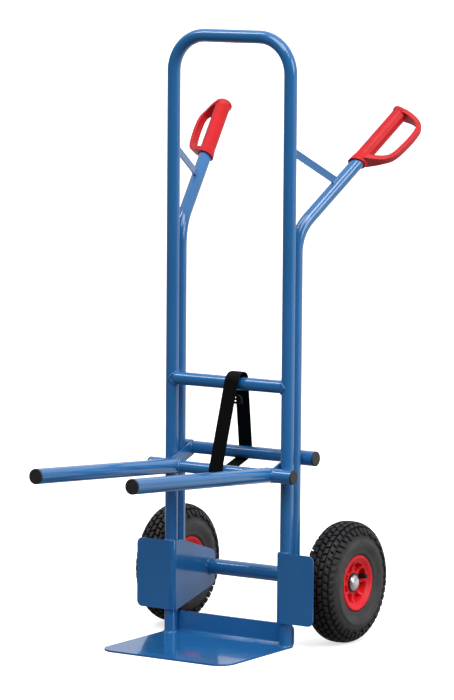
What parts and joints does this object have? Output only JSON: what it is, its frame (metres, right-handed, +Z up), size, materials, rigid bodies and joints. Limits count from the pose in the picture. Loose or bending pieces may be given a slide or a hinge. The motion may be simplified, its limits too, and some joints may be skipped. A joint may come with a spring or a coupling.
{
  "type": "hand truck",
  "caption": "Tubular steel hand truck with pneumatic wheels, closed safety grips and a height-adjustable two-arm carrier held by a webbing strap.",
  "frame": {"origin": "on the floor, in the middle of the whole width and depth", "axes": "+X to the right, +Y to the back where the grips are, +Z up; the toe plate and arms point towards -Y"},
  "size_m": [0.5668, 0.8836, 1.3],
  "materials": {
    "blue_paint": "gloss powder coat",
    "grip": "satin moulded",
    "rim": "moulded",
    "tyre": "moulded rubber",
    "inner_tube": "smooth rubber",
    "valve": "smooth rubber",
    "bearing": "moulded",
    "end_cap": "moulded",
    "cap_metal": "bright zinc",
    "steel": "turned",
    "zinc": "zinc plated",
    "webbing": "woven polypropylene",
    "buckle": "moulded"
  },
  "bodies": {
    "frame": {"axle_bush_left": "steel", "axle_bush_right": "steel", "axle_shaft": "steel", "axle_spacer_left": "zinc", "axle_spacer_right": "zinc", "axle_tube": "blue_paint", "bracket_left": "blue_paint", "bracket_right": "blue_paint", "grip_left": "grip", "grip_right": "grip", "handle_brace_left": "blue_paint", "handle_brace_right": "blue_paint", "handle_tube_left": "blue_paint", "handle_tube_right": "blue_paint", "main_frame_tube": "blue_paint", "mid_cross_tube": "blue_paint", "push_cap_left": "cap_metal", "push_cap_right": "cap_metal", "strap": "webbing", "strap_buckle": "buckle", "toe_plate": "blue_paint"},
    "wheel_left": {"hub_bearing_left": "bearing", "inner_tube_left": "inner_tube", "rim_inner_left": "rim", "rim_outer_left": "rim", "rim_screws_left": "zinc", "tyre_left": "tyre", "valve_left": "valve"},
    "wheel_right": {"hub_bearing_right": "bearing", "inner_tube_right": "inner_tube", "rim_inner_right": "rim", "rim_outer_right": "rim", "rim_screws_right": "zinc", "tyre_right": "tyre", "valve_right": "valve"},
    "carrier": {"arm_cap_left": "end_cap", "arm_cap_right": "end_cap", "arm_left": "blue_paint", "arm_right": "blue_paint", "carrier_link_left": "blue_paint", "carrier_link_right": "blue_paint", "front_cap_left": "end_cap", "front_cap_right": "end_cap", "front_crossbar": "blue_paint", "front_sleeve_left": "blue_paint", "front_sleeve_right": "blue_paint", "rear_cap_left": "end_cap", "rear_cap_right": "end_cap", "rear_crossbar": "blue_paint", "rear_sleeve_left": "blue_paint", "rear_sleeve_right": "blue_paint"}
  },
  "joints": [
    {"name": "wheel_left_spin", "type": "hinge", "parent": "frame", "child": "wheel_left", "pos_m": [-0.2141, 0.2391, 0.13], "axis": [1, 0, 0], "continuous": true},
    {"name": "wheel_right_spin", "type": "hinge", "parent": "frame", "child": "wheel_right", "pos_m": [0.2141, 0.2391, 0.13], "axis": [1, 0, 0], "continuous": true},
    {"name": "carrier_slide", "type": "slide", "parent": "frame", "child": "carrier", "axis": [0, 0, 1], "range_m": [-0.14, 0.14], "deforming": ["strap", "strap_buckle"]}
  ]
}
